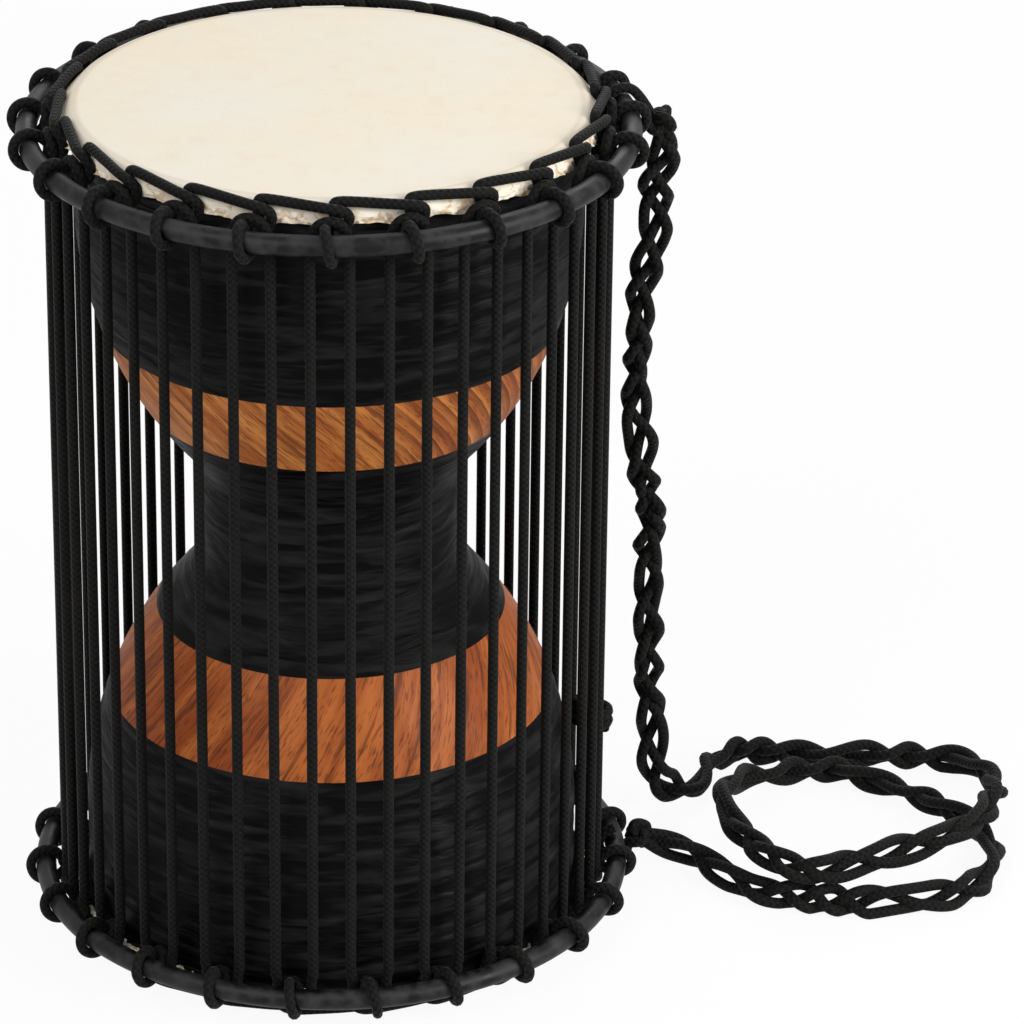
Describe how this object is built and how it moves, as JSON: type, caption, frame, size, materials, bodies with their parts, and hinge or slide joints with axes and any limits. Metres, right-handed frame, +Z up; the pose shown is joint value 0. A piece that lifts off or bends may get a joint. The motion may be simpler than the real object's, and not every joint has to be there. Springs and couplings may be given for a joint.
{
  "type": "talking drum",
  "caption": "Hourglass hand drum with a laced skin at each end, a cage of tension cords that is squeezed to bend the pitch, and a plaited shoulder strap.",
  "frame": {"origin": "middle of the drum's base, on the floor that the lower lacing stands on; the strap is left out of it", "axes": "+Z up along the drum's axis, +X towards the side where the strap hangs, -Y towards the viewer of the picture"},
  "size_m": [0.4023, 0.2436, 0.3369],
  "materials": {
    "carved_wood": "carved, stained black",
    "goatskin": "matt skin",
    "bare_wood": "bare",
    "coated_rod": "satin",
    "black_rope": "braided",
    "black_plait": "plaited"
  },
  "bodies": {
    "drum": {"shell": "carved_wood", "top_skin": "goatskin", "bottom_skin": "goatskin", "top_hoop": "bare_wood", "bottom_hoop": "bare_wood", "top_ring": "coated_rod", "bottom_ring": "coated_rod", "top_lacing": "black_rope", "bottom_lacing": "black_rope", "top_loops": "black_rope", "bottom_loops": "black_rope", "right_cords": "black_rope", "left_cords": "black_rope", "strap_hang": "black_plait", "strap_coil": "black_plait", "strap_tail": "black_plait", "strap_top_tie": "black_rope", "strap_bottom_tie": "black_rope"},
    "front_upper": {"front_upper_cords": "black_rope"},
    "front_lower": {"front_lower_cords": "black_rope"},
    "back_upper": {"back_upper_cords": "black_rope"},
    "back_lower": {"back_lower_cords": "black_rope"}
  },
  "joints": [
    {"name": "front_squeeze", "type": "hinge", "parent": "drum", "child": "front_upper", "pos_m": [0, -0.105, 0.31571], "axis": [1, 0, 0], "range_deg": [0, 6], "stiffness_Nm_per_rad": 0.5},
    {"name": "front_fold", "type": "hinge", "parent": "front_upper", "child": "front_lower", "pos_m": [0, -0.105, 0.16821], "axis": [1, 0, 0], "range_deg": [-12, 0], "stiffness_Nm_per_rad": 0.1},
    {"name": "back_squeeze", "type": "hinge", "parent": "drum", "child": "back_upper", "pos_m": [0, 0.105, 0.31571], "axis": [-1, 0, 0], "range_deg": [0, 6], "stiffness_Nm_per_rad": 0.5},
    {"name": "back_fold", "type": "hinge", "parent": "back_upper", "child": "back_lower", "pos_m": [0, 0.105, 0.16821], "axis": [-1, 0, 0], "range_deg": [-12, 0], "stiffness_Nm_per_rad": 0.1}
  ],
  "couplings": [
    {"joint": "front_fold", "follows": "front_squeeze", "ratio": -2},
    {"joint": "back_fold", "follows": "back_squeeze", "ratio": -2}
  ]
}
